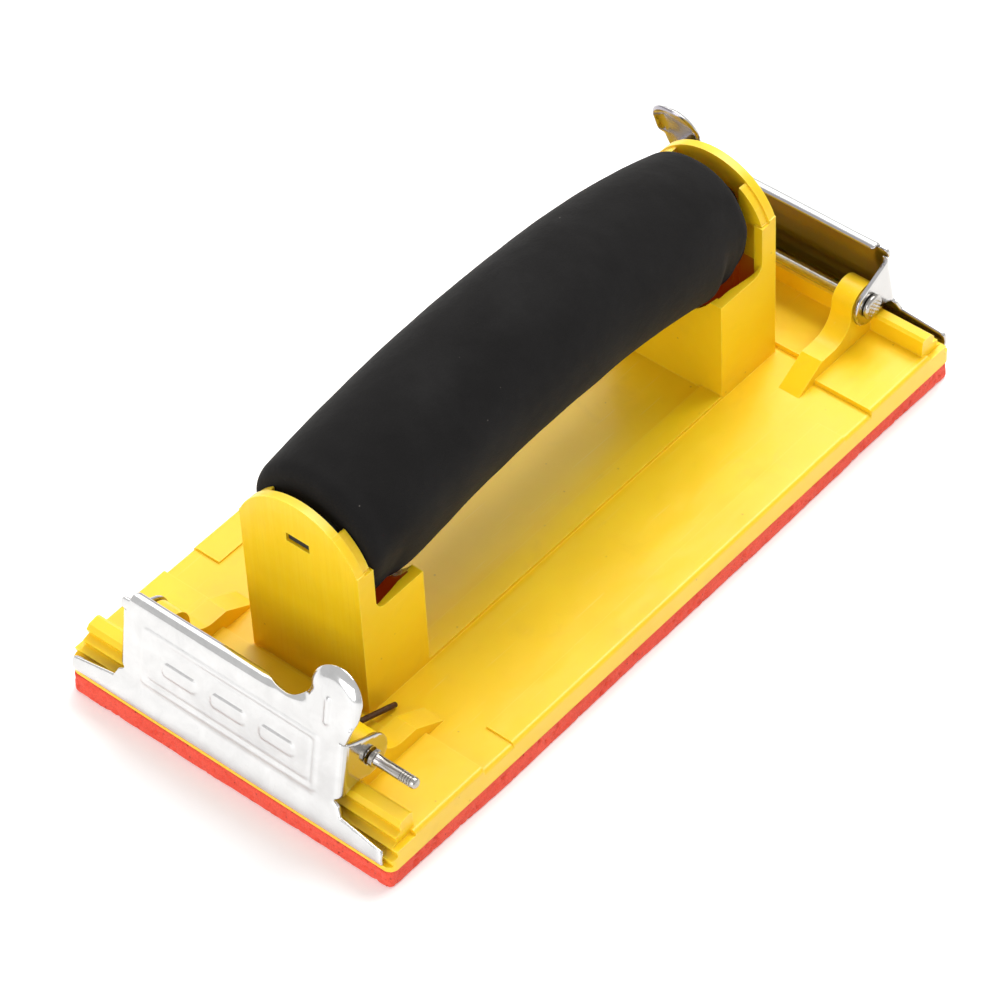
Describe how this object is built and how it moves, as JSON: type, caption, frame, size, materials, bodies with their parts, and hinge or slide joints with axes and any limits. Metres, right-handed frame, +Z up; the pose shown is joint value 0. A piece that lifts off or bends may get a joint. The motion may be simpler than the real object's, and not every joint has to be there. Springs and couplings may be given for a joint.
{
  "type": "sanding block",
  "caption": "Hand sanding block: long base on a foam pad, arched foam grip on two posts, and a sprung thumb clamp at each end that grips a strip of abrasive paper.",
  "frame": {"origin": "middle of the foam pad's working face", "axes": "+X along the block towards the rear clamp, +Y across the block, +Z up away from the work"},
  "size_m": [0.2128, 0.1, 0.0815],
  "materials": {
    "base_plastic": "semi-gloss injection moulded",
    "pad_foam": "closed cell foam with fine pores",
    "adhesive": "thin film",
    "core_plastic": "moulded",
    "grip_foam": "matte foam with a fine skin",
    "plated_steel": "bright zinc plate, lightly worn",
    "pin_steel": "drawn and plated",
    "spring_steel": "dark oiled wire"
  },
  "bodies": {
    "block": {"base": "base_plastic", "foam_pad": "pad_foam", "pad_adhesive": "adhesive", "grip_core": "core_plastic", "grip_foam": "grip_foam", "front_pin": "pin_steel", "rear_pin": "pin_steel", "front_spring": "spring_steel", "rear_spring": "spring_steel"},
    "front_clamp": {"front_clamp": "plated_steel"},
    "rear_clamp": {"rear_clamp": "plated_steel"}
  },
  "joints": [
    {"name": "front_clamp_hinge", "type": "hinge", "parent": "block", "child": "front_clamp", "pos_m": [-0.0924, 0, 0.0238], "axis": [0, 1, 0], "range_deg": [0, 28], "stiffness_Nm_per_rad": 0.25, "springref_deg": -60.16, "deforming": ["front_spring"]},
    {"name": "rear_clamp_hinge", "type": "hinge", "parent": "block", "child": "rear_clamp", "pos_m": [0.0924, 0, 0.0238], "axis": [0, -1, 0], "range_deg": [0, 28], "stiffness_Nm_per_rad": 0.25, "springref_deg": -60.16, "deforming": ["rear_spring"]}
  ]
}
